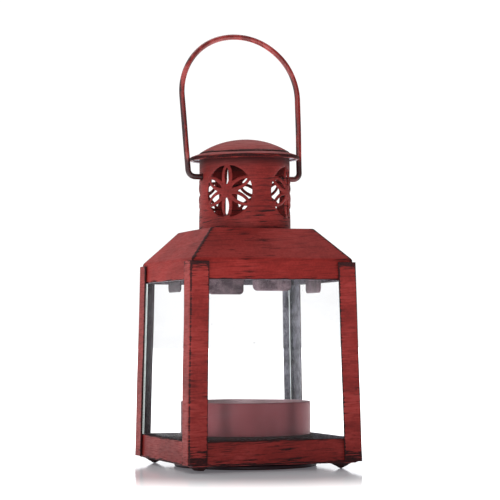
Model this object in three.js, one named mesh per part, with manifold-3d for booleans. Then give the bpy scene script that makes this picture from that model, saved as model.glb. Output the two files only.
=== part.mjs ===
// Small sheet-metal candle lantern with a pierced chimney, a domed lid and a wire bail.
// Millimetres, +Z up. The origin is on the standing plane, under the middle of the body.
// The front wall faces -Y and the bail swings about the X direction.

import * as THREE from 'three';
import { mergeVertices } from 'three/addons/utils/BufferGeometryUtils.js';
import Module from 'manifold-3d';

const wasm = await Module();
wasm.setup();

// ---- driving dimensions ----------------------------------------------------------------

const SHEET = 0.5;              // thickness of all the painted sheet
const GAP = 0.3;                // clearance between pieces that touch

const BODY_HALF = 28.0;         // outer half width over the posts, at their feet
const LEAN = 0.0216;            // how far each wall leans in, per unit of height
const POST_FOOT_Z = 2.3;
const POST_TOP_Z = 62.9;
const FRONT_FLANGE = 6.0;       // width of a post on the front wall
const SIDE_FLANGE = 6.4;        // width of a post on a side wall
const REAR_FLANGE = 4.0;        // width of a post on the rear wall

const FLOOR_Z = 1.8;            // underside of the base floor
const BASE_RIM_Z = 9.3;
const FOOT_SPREAD = 22.9;       // distance of each foot from the middle planes
const FOOT_TIP_RADIUS = 0.9;
const FOOT_ROOT_RADIUS = 2.9;
const COLLAR_TOP_Z = 10.0;

const ROOF_HEM_Z = 57.3;
const ROOF_BREAK_Z = 63.7;
const ROOF_TOP_Z = 73.6;
const ROOF_TOP_HALF = 16.7;

const PANE_THICKNESS = 1.6;
const PANE_TOP_Z = 60.2;
const CLIP_WIDTH = 12.4;
const CLIP_CORNER = 1.2;        // cut at each lower corner of a clip
const CLIP_BOTTOM_Z = 54.1;
const CLIP_TOP_Z = 61.5;
const LUG_WIDTH = 8.0;
const LUG_TOP_Z = 6.6;

const CHIMNEY_FOOT_Z = 72.6;
const CHIMNEY_TOP_Z = 96.9;
const CHIMNEY_FOOT_RADIUS = 14.5;
const CHIMNEY_TOP_RADIUS = 14.2;

const ROSETTE_Z = 85.2;
const ROSETTE_RADIUS = 8.1;
const ROSETTE_COUNT = 4;
const FIRST_ROSETTE_ANGLE = THREE.MathUtils.degToRad(48);
const PETAL_COUNT = 6;
const PETAL_HALF_WIDTH = 1.75;
const SLOT_START = 2.0;         // along the petal, from the rosette's centre
const SLOT_END = 7.2;
const SLOT_HALF_WIDTH = 0.8;

const LID_TOP_Z = 102.4;
const DOME_RADIUS = 15.0;
const DOME_FOOT_Z = 97.8;
const BRIM_RADIUS = 17.3;
const BRIM_EDGE_Z = 96.9;
const BRIM_BEAD = 1.1;          // height of the rolled edge
const DOME_STEPS = 5;           // straight steps in half of the dome's section

const PIVOT_Z = 90.3;
const PIVOT_HOLE_RADIUS = 1.2;
const WIRE_RADIUS = 0.88;
const BAIL_END_X = 12.4;
const BAIL_LEG_X = 18.65;       // half distance between the legs, just above the pivots
const BAIL_BEND_RADIUS = 2.2;
const BAIL_ARCH_RADIUS = 19.5;
const BAIL_ARCH_CENTRE = 26.8;  // height of the arch's centre above the pivots
const BAIL_LEAN = THREE.MathUtils.degToRad(8);

const CUP_RADIUS = 20.37;
const CUP_WALL = 0.4;
const CUP_FLOOR_Z = 1.8;
const CUP_RIM_Z = 20.1;
const DISH_RADIUS = 22.3;
const DISH_LIP_Z = 0.3;
const DISH_TOP_Z = 1.5;

const TEALIGHT_RADIUS = 19.0;
const TEALIGHT_WALL = 0.3;
const TEALIGHT_HEIGHT = 14.0;
const WAX_DEPTH = 11.2;
const WICK_RADIUS = 0.75;
const WICK_ABOVE_WAX = 4.0;
const SUSTAINER_RADIUS = 6.2;
const SUSTAINER_HEIGHT = 0.4;

const ROUND = 48;               // facets around a large round piece
const FINE_ROUND = 12;          // facets around a small round piece

// ---- finishes --------------------------------------------------------------------------

const finish = (color, roughness, metalness, extra = {}) =>
  new THREE.MeshStandardMaterial({ color, roughness, metalness, ...extra });

const redPaint = () => finish(0x9c3430, 0.5, 0.1);
const darkWire = () => finish(0x5a2222, 0.45, 0.3);
const bareSheet = () => finish(0x8f9096, 0.45, 0.8);
const cupMetal = () => finish(0x8a5a60, 0.4, 0.6);
const aluminium = () => finish(0xc8cacc, 0.35, 0.9);
const glass = () => finish(0xf2f7f6, 0.08, 0, { transparent: true, opacity: 0.3 });
const wax = () => finish(0xf1ece0, 0.6, 0);
const cotton = () => finish(0xe6ddc8, 0.95, 0);

// ---- geometry helpers ------------------------------------------------------------------

// One closed, outward-facing, vertex-merged copy of a geometry.
function closed(geometry) {
  const plain = geometry.clone();
  plain.deleteAttribute('normal');
  plain.deleteAttribute('uv');
  const merged = mergeVertices(plain, 1e-4);
  const position = merged.getAttribute('position');
  const triangles = [];
  const a = new THREE.Vector3();
  const b = new THREE.Vector3();
  const c = new THREE.Vector3();
  let volume = 0;
  for (let i = 0; i < merged.index.count; i += 3) {
    const corners = [0, 1, 2].map((k) => merged.index.getX(i + k));
    if (new Set(corners).size < 3) continue;
    triangles.push(corners);
    a.fromBufferAttribute(position, corners[0]);
    b.fromBufferAttribute(position, corners[1]);
    c.fromBufferAttribute(position, corners[2]);
    volume += a.dot(b.cross(c));
  }
  const order = volume < 0 ? [0, 2, 1] : [0, 1, 2];
  merged.setIndex(triangles.flatMap((corners) => order.map((k) => corners[k])));
  return merged;
}

function toSolid(geometry) {
  const merged = closed(geometry);
  return new wasm.Manifold(new wasm.Mesh({
    numProp: 3,
    vertProperties: new Float32Array(merged.getAttribute('position').array),
    triVerts: new Uint32Array(merged.index.array),
  }));
}

function fromSolid(solid) {
  const { vertProperties, triVerts } = solid.getMesh();
  const geometry = new THREE.BufferGeometry();
  geometry.setAttribute('position', new THREE.BufferAttribute(vertProperties, 3));
  geometry.setIndex(new THREE.BufferAttribute(triVerts, 1));
  return geometry;
}

function piece(name, geometry, material) {
  const flat = closed(geometry).toNonIndexed();
  flat.computeVertexNormals();
  const mesh = new THREE.Mesh(flat, material);
  mesh.name = name;
  return mesh;
}

// A profile of [distance from the axis, height] pairs turned about +Z.
function turned(profile, segments = ROUND) {
  const points = profile.map(([r, z]) => new THREE.Vector2(r, z));
  return new THREE.LatheGeometry(points, segments).rotateX(Math.PI / 2);
}

// A profile of [half width, height] pairs carried round a square, with mitred corners.
function turnedSquare(profile) {
  const points = profile.map(([half, z]) => new THREE.Vector2(half * Math.SQRT2, z));
  return new THREE.LatheGeometry(points, 4, Math.PI / 4).rotateX(Math.PI / 2);
}

// Slides every level sideways in proportion to its height above the posts' feet.
function leaned(geometry, perX, perY) {
  const shear = new THREE.Matrix4().set(
    1, 0, perX, -perX * POST_FOOT_Z,
    0, 1, perY, -perY * POST_FOOT_Z,
    0, 0, 1, 0,
    0, 0, 0, 1,
  );
  return geometry.applyMatrix4(shear);
}

function polygon(points) {
  return new THREE.Shape(points.map(([x, y]) => new THREE.Vector2(x, y)));
}

function cylinder(radius, bottom, top, segments = ROUND) {
  return turned([[0, bottom], [radius, bottom], [radius, top], [0, top]], segments);
}

function block(width, depth, bottom, top, x, y) {
  return new THREE.BoxGeometry(width, depth, top - bottom).translate(x, y, (bottom + top) / 2);
}

// Half width over the posts at a height, and over the sheet that stands inside them.
const postHalf = (z) => BODY_HALF - LEAN * (z - POST_FOOT_Z);
const skinHalf = (z) => postHalf(z) - SHEET - GAP;
const paneOuter = (z) => skinHalf(z) - SHEET - GAP;
const paneInner = (z) => paneOuter(z) - PANE_THICKNESS;

// ---- base ------------------------------------------------------------------------------

function basePan() {
  const floorTop = FLOOR_Z + SHEET;
  const holeRadius = CUP_RADIUS + GAP;
  let pan = toSolid(turnedSquare([
    [0, FLOOR_Z],
    [skinHalf(FLOOR_Z), FLOOR_Z],
    [skinHalf(BASE_RIM_Z), BASE_RIM_Z],
    [skinHalf(BASE_RIM_Z) - SHEET, BASE_RIM_Z],
    [skinHalf(floorTop) - SHEET, floorTop],
    [0, floorTop],
  ]));
  pan = pan.subtract(toSolid(cylinder(holeRadius, FLOOR_Z - 1, floorTop + 1)));
  pan = pan.add(toSolid(turned([
    [holeRadius, FLOOR_Z],
    [holeRadius + SHEET, FLOOR_Z],
    [holeRadius + SHEET, COLLAR_TOP_Z],
    [holeRadius, COLLAR_TOP_Z],
    [holeRadius, FLOOR_Z],
  ])));
  for (const [x, y] of [[-1, -1], [1, -1], [1, 1], [-1, 1]]) {
    const place = (geometry) => toSolid(geometry.translate(x * FOOT_SPREAD, y * FOOT_SPREAD, 0));
    const well = FOOT_ROOT_RADIUS - SHEET;
    pan = pan.subtract(place(cylinder(well, FLOOR_Z - 1, floorTop + 1, FINE_ROUND)));
    pan = pan.add(place(turned([
      [0, 0],
      [FOOT_TIP_RADIUS, 0],
      [FOOT_ROOT_RADIUS, FLOOR_Z],
      [FOOT_ROOT_RADIUS, floorTop],
      [well - 0.2, floorTop],
      [FOOT_TIP_RADIUS - 0.2, SHEET],
      [0, SHEET],
    ], FINE_ROUND)));
  }
  // Upturned lugs that keep the lower edges of the panes against the rim.
  const lugFace = paneInner(LUG_TOP_Z) - GAP;
  for (let turn = 0; turn < 4; turn += 1) {
    const lug = block(LUG_WIDTH, SHEET, FLOOR_Z + 0.1, LUG_TOP_Z, 0, -lugFace + SHEET / 2);
    pan = pan.add(toSolid(lug.rotateZ(turn * Math.PI / 2)));
  }
  return piece('base_pan', fromSolid(pan), redPaint());
}

// ---- corner posts ----------------------------------------------------------------------

function post(name, sideX, sideY) {
  const along = sideY < 0 ? FRONT_FLANGE : REAR_FLANGE;
  const corner = polygon([
    [0, 0],
    [-along, 0],
    [-along, -SHEET],
    [-SHEET, -SHEET],
    [-SHEET, -SIDE_FLANGE],
    [0, -SIDE_FLANGE],
  ]);
  const height = POST_TOP_Z - POST_FOOT_Z;
  const geometry = new THREE.ExtrudeGeometry(corner, { depth: height, bevelEnabled: false })
    .scale(sideX, sideY, 1)
    .translate(sideX * BODY_HALF, sideY * BODY_HALF, POST_FOOT_Z);
  return piece(name, leaned(geometry, -sideX * LEAN, -sideY * LEAN), redPaint());
}

// ---- roof ------------------------------------------------------------------------------

function roof() {
  const slope = Math.atan2(
    ROOF_TOP_Z - ROOF_BREAK_Z,
    skinHalf(ROOF_BREAK_Z) - ROOF_TOP_HALF,
  );
  const inset = SHEET * Math.tan(slope / 2);
  const shell = toSolid(turnedSquare([
    [skinHalf(ROOF_HEM_Z), ROOF_HEM_Z],
    [skinHalf(ROOF_BREAK_Z), ROOF_BREAK_Z],
    [ROOF_TOP_HALF, ROOF_TOP_Z],
    [0, ROOF_TOP_Z],
    [0, ROOF_TOP_Z - SHEET],
    [ROOF_TOP_HALF - inset, ROOF_TOP_Z - SHEET],
    [skinHalf(ROOF_BREAK_Z) - SHEET, ROOF_BREAK_Z - inset],
    [skinHalf(ROOF_HEM_Z) - SHEET, ROOF_HEM_Z],
    [skinHalf(ROOF_HEM_Z), ROOF_HEM_Z],
  ]));
  const flue = toSolid(cylinder(CHIMNEY_FOOT_RADIUS + GAP, ROOF_TOP_Z - 3, ROOF_TOP_Z + 3));
  return piece('roof', fromSolid(shell.subtract(flue)), redPaint());
}

// A bent strip under the roof that keeps a pane's upper edge against the roof's skirt.
// It is made for the front wall, moved sideways by shift, and turned to its own wall.
function paneClip(name, wallAngle, shift) {
  const face = paneInner(CLIP_BOTTOM_Z) - GAP;
  const half = CLIP_WIDTH / 2;
  const blade = new THREE.ExtrudeGeometry(polygon([
    [-half + CLIP_CORNER, CLIP_BOTTOM_Z],
    [half - CLIP_CORNER, CLIP_BOTTOM_Z],
    [half, CLIP_BOTTOM_Z + CLIP_CORNER],
    [half, CLIP_TOP_Z],
    [-half, CLIP_TOP_Z],
    [-half, CLIP_BOTTOM_Z + CLIP_CORNER],
  ]), { depth: SHEET, bevelEnabled: false })
    .rotateX(Math.PI / 2)
    .translate(0, -face + SHEET, 0);
  const reach = skinHalf(CLIP_TOP_Z) - SHEET - GAP - face + SHEET;
  const ledge = block(
    CLIP_WIDTH, reach, CLIP_TOP_Z - SHEET, CLIP_TOP_Z, 0, -face + SHEET - reach / 2,
  );
  const strip = fromSolid(toSolid(blade).add(toSolid(ledge)));
  return piece(name, strip.translate(shift, 0, 0).rotateZ(wallAngle), bareSheet());
}

// ---- glass -----------------------------------------------------------------------------

// A flat pane, a little narrower at the top, leaning with its wall.
function pane(name, wallAngle, sideInset) {
  const bottom = FLOOR_Z + SHEET + GAP;
  const width = (z) => paneOuter(z) - sideInset;
  const geometry = new THREE.ExtrudeGeometry(polygon([
    [-width(bottom), bottom],
    [width(bottom), bottom],
    [width(PANE_TOP_Z), PANE_TOP_Z],
    [-width(PANE_TOP_Z), PANE_TOP_Z],
  ]), { depth: PANE_THICKNESS, bevelEnabled: false })
    .rotateX(Math.PI / 2)
    .translate(0, -paneInner(POST_FOOT_Z), 0);
  return piece(name, leaned(geometry, 0, LEAN).rotateZ(wallAngle), glass());
}

// ---- chimney ---------------------------------------------------------------------------

// Half width of a pointed oval that runs from start to end, at distance s.
function ovalHalfWidth(s, start, end, halfWidth) {
  const q = (s - start) / (end - start);
  return halfWidth * 4 * q * (1 - q);
}

const sampled = (start, end, count, f) =>
  Array.from({ length: count + 1 }, (_, i) => f(start + (end - start) * i / count));

// The slot inside a petal that points along an angle.
function slotOutline(angle) {
  const side = (sign) => (s) => {
    const w = sign * ovalHalfWidth(s, SLOT_START, SLOT_END, SLOT_HALF_WIDTH);
    return [s * Math.cos(angle) - w * Math.sin(angle), s * Math.sin(angle) + w * Math.cos(angle)];
  };
  const out = sampled(SLOT_START, SLOT_END, 4, side(-1));
  const back = sampled(SLOT_END, SLOT_START, 4, side(1));
  return [...out, ...back.slice(1, -1)];
}

// The opening between the petal at an angle and the next petal, out to the rim.
function gapOutline(angle) {
  const step = 2 * Math.PI / PETAL_COUNT;
  const start = 2.85;
  const end = 7.5;
  const side = (direction, sign) => (s) => {
    const w = sign * ovalHalfWidth(s, 0, ROSETTE_RADIUS, PETAL_HALF_WIDTH);
    const turn = Math.atan2(w, s);
    const r = Math.hypot(w, s);
    return [r * Math.cos(direction + turn), r * Math.sin(direction + turn)];
  };
  const lean = Math.atan2(ovalHalfWidth(end, 0, ROSETTE_RADIUS, PETAL_HALF_WIDTH), end);
  const rim = (a) => [ROSETTE_RADIUS * Math.cos(a), ROSETTE_RADIUS * Math.sin(a)];
  return [
    ...sampled(start, end, 3, side(angle, 1)),
    ...sampled(angle + lean, angle + step - lean, 3, rim),
    ...sampled(end, start, 3, side(angle + step, -1)),
  ];
}

// A cutter for the chimney wall: an outline wrapped round the wall at an azimuth.
function wrappedCutter(outline, azimuth) {
  const depth = 3;
  const radius = (CHIMNEY_FOOT_RADIUS + CHIMNEY_TOP_RADIUS) / 2;
  const geometry = new THREE.ExtrudeGeometry(polygon(outline), { depth, bevelEnabled: false });
  const position = geometry.getAttribute('position');
  for (let i = 0; i < position.count; i += 1) {
    const angle = azimuth + position.getX(i) / radius;
    const r = radius - SHEET / 2 - depth / 2 + position.getZ(i);
    position.setXYZ(i, r * Math.cos(angle), r * Math.sin(angle), ROSETTE_Z + position.getY(i));
  }
  return toSolid(geometry);
}

function chimney() {
  let wall = toSolid(turned([
    [CHIMNEY_FOOT_RADIUS, CHIMNEY_FOOT_Z],
    [CHIMNEY_TOP_RADIUS, CHIMNEY_TOP_Z],
    [CHIMNEY_TOP_RADIUS - SHEET, CHIMNEY_TOP_Z],
    [CHIMNEY_FOOT_RADIUS - SHEET, CHIMNEY_FOOT_Z],
    [CHIMNEY_FOOT_RADIUS, CHIMNEY_FOOT_Z],
  ]));
  for (let rosette = 0; rosette < ROSETTE_COUNT; rosette += 1) {
    const azimuth = FIRST_ROSETTE_ANGLE + rosette * 2 * Math.PI / ROSETTE_COUNT;
    for (let petal = 0; petal < PETAL_COUNT; petal += 1) {
      const angle = Math.PI / 2 + petal * 2 * Math.PI / PETAL_COUNT;
      wall = wall.subtract(wrappedCutter(slotOutline(angle), azimuth));
      wall = wall.subtract(wrappedCutter(gapOutline(angle), azimuth));
    }
  }
  const pivotDrill = cylinder(PIVOT_HOLE_RADIUS, -20, 20, FINE_ROUND)
    .rotateY(Math.PI / 2)
    .translate(0, 0, PIVOT_Z);
  return piece('chimney', fromSolid(wall.subtract(toSolid(pivotDrill))), redPaint());
}

// ---- lid -------------------------------------------------------------------------------

// Points of the dome's section from the axis out to its foot, for a surface this far inside.
function domeArc(inside, count) {
  const rise = LID_TOP_Z - DOME_FOOT_Z;
  const sphere = (DOME_RADIUS ** 2 + rise ** 2) / (2 * rise);
  const halfAngle = Math.asin(DOME_RADIUS / sphere);
  const centre = LID_TOP_Z - sphere;
  return sampled(0, halfAngle, count, (a) => [
    (sphere - inside) * Math.sin(a),
    centre + (sphere - inside) * Math.cos(a),
  ]);
}

function lid() {
  const beadInner = BRIM_RADIUS - BRIM_BEAD;
  const profile = [
    ...domeArc(0, DOME_STEPS),
    [BRIM_RADIUS - 0.4, BRIM_EDGE_Z + 0.15],
    [BRIM_RADIUS, BRIM_EDGE_Z - 0.2],
    [BRIM_RADIUS, BRIM_EDGE_Z - BRIM_BEAD + 0.3],
    [BRIM_RADIUS - 0.3, BRIM_EDGE_Z - BRIM_BEAD],
    [beadInner + 0.3, BRIM_EDGE_Z - BRIM_BEAD],
    [beadInner, BRIM_EDGE_Z - BRIM_BEAD + 0.3],
    ...domeArc(SHEET, DOME_STEPS).reverse(),
  ];
  return piece('lid', turned(profile), redPaint());
}

// ---- bail ------------------------------------------------------------------------------

// Centreline from one pivot to the other: out, up round a bend, up the leg, over the arch.
function bailRoute() {
  const legFoot = new THREE.Vector2(BAIL_LEG_X, BAIL_BEND_RADIUS);
  const half = [];
  half.push(...sampled(BAIL_END_X, BAIL_LEG_X - BAIL_BEND_RADIUS, 3, (x) => [x, 0]));
  half.push(...sampled(-Math.PI / 2, 0, 4, (a) => [
    BAIL_LEG_X - BAIL_BEND_RADIUS + BAIL_BEND_RADIUS * Math.cos(a),
    BAIL_BEND_RADIUS + BAIL_BEND_RADIUS * Math.sin(a),
  ]).slice(1));
  half.push(...sampled(0, 1, 4, (q) => [
    THREE.MathUtils.lerp(legFoot.x, BAIL_ARCH_RADIUS, q),
    THREE.MathUtils.lerp(legFoot.y, BAIL_ARCH_CENTRE, q),
  ]).slice(1));
  half.push(...sampled(0, Math.PI / 2, 9, (a) => [
    BAIL_ARCH_RADIUS * Math.cos(a),
    BAIL_ARCH_CENTRE + BAIL_ARCH_RADIUS * Math.sin(a),
  ]).slice(1));
  const other = half.slice(0, -1).reverse().map(([x, height]) => [-x, height]);
  return [...half, ...other].map(([x, height]) => new THREE.Vector3(x, 0, height));
}

function bail() {
  const section = new THREE.Shape().absarc(0, 0, WIRE_RADIUS, 0, 2 * Math.PI);
  const geometry = new THREE.ExtrudeGeometry(section, {
    steps: 64,
    curveSegments: 4,
    extrudePath: new THREE.CatmullRomCurve3(bailRoute()),
  });
  const mesh = piece('bail', geometry, darkWire());
  mesh.rotation.x = -BAIL_LEAN;
  mesh.position.z = PIVOT_Z;
  return mesh;
}

// ---- candle holder and tealight --------------------------------------------------------

function candleCup() {
  const inner = CUP_RADIUS - CUP_WALL;
  return piece('candle_cup', turned([
    [0, CUP_FLOOR_Z],
    [CUP_RADIUS - 0.5, CUP_FLOOR_Z],
    [CUP_RADIUS, CUP_FLOOR_Z + 0.5],
    [CUP_RADIUS, CUP_RIM_Z],
    [inner, CUP_RIM_Z],
    [inner, CUP_FLOOR_Z + CUP_WALL],
    [0, CUP_FLOOR_Z + CUP_WALL],
  ]), cupMetal());
}

function cupDish() {
  return piece('cup_dish', turned([
    [0, DISH_TOP_Z - SHEET],
    [DISH_RADIUS - 1.2, DISH_TOP_Z - SHEET],
    [DISH_RADIUS - 0.9, DISH_LIP_Z],
    [DISH_RADIUS - 0.3, DISH_LIP_Z],
    [DISH_RADIUS, DISH_LIP_Z + 0.3],
    [DISH_RADIUS, DISH_TOP_Z - 0.4],
    [DISH_RADIUS - 0.4, DISH_TOP_Z],
    [0, DISH_TOP_Z],
  ]), cupMetal());
}

function tealight() {
  const foot = CUP_FLOOR_Z + CUP_WALL + GAP;
  const inner = TEALIGHT_RADIUS - TEALIGHT_WALL;
  const shell = piece('tealight_shell', turned([
    [0, foot],
    [TEALIGHT_RADIUS - 0.6, foot],
    [TEALIGHT_RADIUS, foot + 0.6],
    [TEALIGHT_RADIUS, foot + TEALIGHT_HEIGHT],
    [inner, foot + TEALIGHT_HEIGHT],
    [inner, foot + 0.8],
    [inner - 0.5, foot + TEALIGHT_WALL],
    [0, foot + TEALIGHT_WALL],
  ]), aluminium());

  const waxFoot = foot + TEALIGHT_WALL + GAP;
  const waxTop = waxFoot + WAX_DEPTH;
  const bore = WICK_RADIUS + GAP;
  const recessTop = waxFoot + SUSTAINER_HEIGHT + GAP;
  const waxBody = piece('candle_wax', turned([
    [bore, waxTop],
    [inner - GAP, waxTop],
    [inner - GAP, waxFoot + 0.6],
    [inner - GAP - 0.6, waxFoot],
    [SUSTAINER_RADIUS + GAP, waxFoot],
    [SUSTAINER_RADIUS + GAP, recessTop],
    [bore, recessTop],
    [bore, waxTop],
  ]), wax());

  const sustainerTop = waxFoot + SUSTAINER_HEIGHT;
  const sustainer = piece(
    'wick_sustainer',
    cylinder(SUSTAINER_RADIUS, waxFoot, sustainerTop, FINE_ROUND),
    aluminium(),
  );
  const wick = piece(
    'wick',
    cylinder(WICK_RADIUS, sustainerTop + GAP, waxTop + WICK_ABOVE_WAX, 12),
    cotton(),
  );
  return [shell, waxBody, sustainer, wick];
}

// ---- assembly --------------------------------------------------------------------------

// Each wall's name, its turn from the front wall, and its clip's shift along the wall.
const WALLS = [
  { name: 'front', angle: 0, shift: 0.4 },
  { name: 'right', angle: Math.PI / 2, shift: 0 },
  { name: 'rear', angle: Math.PI, shift: -1.6 },
  { name: 'left', angle: -Math.PI / 2, shift: 0 },
];

const body = new THREE.Group();
body.add(basePan());
body.add(post('post_front_left', -1, -1));
body.add(post('post_front_right', 1, -1));
body.add(post('post_rear_left', -1, 1));
body.add(post('post_rear_right', 1, 1));
body.add(roof());
for (const { name, angle, shift } of WALLS) {
  const between = name === 'left' || name === 'right';
  body.add(paneClip(`pane_clip_${name}`, angle, shift));
  body.add(pane(`pane_${name}`, angle, between ? PANE_THICKNESS + GAP : 0));
}
body.add(chimney());
body.add(lid());

const holder = new THREE.Group();
holder.add(candleCup(), cupDish(), ...tealight());

const lantern = new THREE.Group();
lantern.add(body, bail(), holder);

export default lantern;
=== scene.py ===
import math

import bmesh
import bpy
import numpy as np
from mathutils import Matrix


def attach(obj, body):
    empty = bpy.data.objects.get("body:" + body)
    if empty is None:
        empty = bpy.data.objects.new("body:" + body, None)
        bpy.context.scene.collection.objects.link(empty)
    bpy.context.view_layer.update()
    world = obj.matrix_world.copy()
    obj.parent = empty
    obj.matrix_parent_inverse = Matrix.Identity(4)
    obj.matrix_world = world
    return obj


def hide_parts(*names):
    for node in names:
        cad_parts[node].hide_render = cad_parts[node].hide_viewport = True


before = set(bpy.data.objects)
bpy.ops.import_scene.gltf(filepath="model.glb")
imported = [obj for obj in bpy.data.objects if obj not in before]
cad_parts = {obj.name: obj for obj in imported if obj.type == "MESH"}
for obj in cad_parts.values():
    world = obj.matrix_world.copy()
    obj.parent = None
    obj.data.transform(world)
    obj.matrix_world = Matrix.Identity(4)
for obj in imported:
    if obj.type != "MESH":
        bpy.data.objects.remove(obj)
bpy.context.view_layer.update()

MM = 0.001

# ---- sizes, in millimetres ----

SHEET = 0.5
GAP = 0.3
BODY_HALF = 28.0
LEAN = 0.0216  # for each millimetre of height
POST_FOOT_Z = 2.3
POST_TOP_Z = 62.9
FRONT_FLANGE = 6.0
SIDE_FLANGE = 6.4
REAR_FLANGE = 4.0
REAR_LEFT_FLANGE = 5.2
POST_BEND = 0.9

FLOOR_Z = 1.8
BASE_RIM_Z = 9.3
FOOT_SPREAD = 22.9
FOOT_REACH = 3.3
FOOT_TIP = 0.7
CRUSHED_SHARE = 0.8  # of its depth that the crushed foot keeps
COLLAR_TOP_Z = 10.0

ROOF_HEM_Z = 57.3
ROOF_BREAK_Z = 63.7
ROOF_TOP_Z = 73.6
ROOF_TOP_HALF = 16.7
FLUE_RADIUS = 14.75

PANE_THICKNESS = 1.6
PANE_FOOT_Z = 2.6
PANE_TOP_Z = 60.2
CLIP_WIDTH = 12.4
CLIP_BOTTOM_Z = 54.1
CLIP_TOP_Z = 61.5
LUG_WIDTH = 8.0
LUG_TOP_Z = 6.6

CHIMNEY_FOOT_Z = 72.6
CHIMNEY_TOP_Z = 96.9
CHIMNEY_FOOT_RADIUS = 14.5
CHIMNEY_TOP_RADIUS = 14.2
ROSETTE_Z = 85.2
ROSETTE_RADIUS = 8.1
ROSETTE_AZIMUTHS = np.radians([48, 138, 228, 318])
PETALS = 6
PETAL_HALF = 1.8
PETAL_END = 8.6
BRIDGE_HALF = 0.5
SLOT_START = 2.0
SLOT_END = 7.4
SLOT_HALF = 0.74

SEAM_AZIMUTH = math.radians(93)
SEAM_TOP_Z = 94.5
SEAM_FOOT_Z = 75.5
SEAM_HALF = 0.62
SEAM_FLARE = 0.07
GRID_START = math.radians(273)

LID_TOP_Z = 102.4
DOME_RADIUS = 14.2
DOME_FOOT_Z = 98.2
BRIM_RADIUS = 17.3
BRIM_EDGE_Z = 96.9
BRIM_BEAD = 1.1
LID_TILT = math.radians(1.2)

PIVOT_Z = 90.3
PIVOT_HOLE_RADIUS = 1.2
WIRE_RADIUS = 0.88
WIRE_STEPS = 28
BAIL_END_X = 12.4
BAIL_LEG_X = 18.65
BAIL_BEND_RADIUS = 2.2
BAIL_ARCH_RADIUS = 19.5
BAIL_ARCH_CENTRE = 26.8
BAIL_LEAN = math.radians(8)

CUP_RADIUS = 20.37
CUP_WALL = 0.4
CUP_FLOOR_Z = 1.8
CUP_RIM_Z = 20.1
DISH_RADIUS = 22.3
DISH_LIP_Z = 0.06
DISH_TOP_Z = 1.5

TEALIGHT_RADIUS = 19.0
TEALIGHT_WALL = 0.3
FLUTES = 64
FLUTE_DEPTH = 0.09
TEALIGHT_FOOT_Z = 2.5
TEALIGHT_TOP_Z = 16.5
WAX_FOOT_Z = 3.1
WAX_TOP_Z = 14.3
WICK_RADIUS = 0.75
WICK_TOP_Z = 18.3
SUSTAINER_RADIUS = 6.2
SUSTAINER_HEIGHT = 0.4


def post_half(z):
    """Half the width over the posts at a height: it shrinks by LEAN for each millimetre up."""
    return BODY_HALF - LEAN * (z - POST_FOOT_Z)


def skin_half(z):
    """Half the width over the roof skirt and the base rim, one sheet and one gap further in."""
    return post_half(z) - SHEET - GAP


def pane_outer(z):
    """The outer face of the glass, one more sheet and gap further in."""
    return skin_half(z) - SHEET - GAP


def pane_inner(z):
    """The inner face of the glass."""
    return pane_outer(z) - PANE_THICKNESS


# ---- shader nodes written as Python expressions ----

EVEN = (1, 1, 1)


def operator(operation):
    """A method that adds one Math node of that operation."""
    return lambda self, *others: self.math(operation, *others)


class Sock:
    """One output socket of a finish. Operators on it add Math nodes."""

    def __init__(self, finish, socket):
        self.finish, self.socket = finish, socket

    def math(self, operation, *others):
        values = dict(enumerate((self, *others)))
        return self.finish.add("ShaderNodeMath", {"operation": operation}, values)

    __add__ = __radd__ = operator("ADD")
    __sub__ = operator("SUBTRACT")
    __mul__ = __rmul__ = operator("MULTIPLY")
    at_most = operator("MINIMUM")
    at_least = operator("MAXIMUM")

    def __rsub__(self, other):
        return self.finish.add("ShaderNodeMath", {"operation": "SUBTRACT"}, {0: other, 1: self})

    def step(self, low, high):
        """0 below low, 1 above high and a smooth rise between; low may be above high."""
        settings = {"interpolation_type": "SMOOTHSTEP", "clamp": True}
        values = {"Value": self, "From Min": low, "From Max": high}
        return self.finish.add("ShaderNodeMapRange", settings, values)


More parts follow.
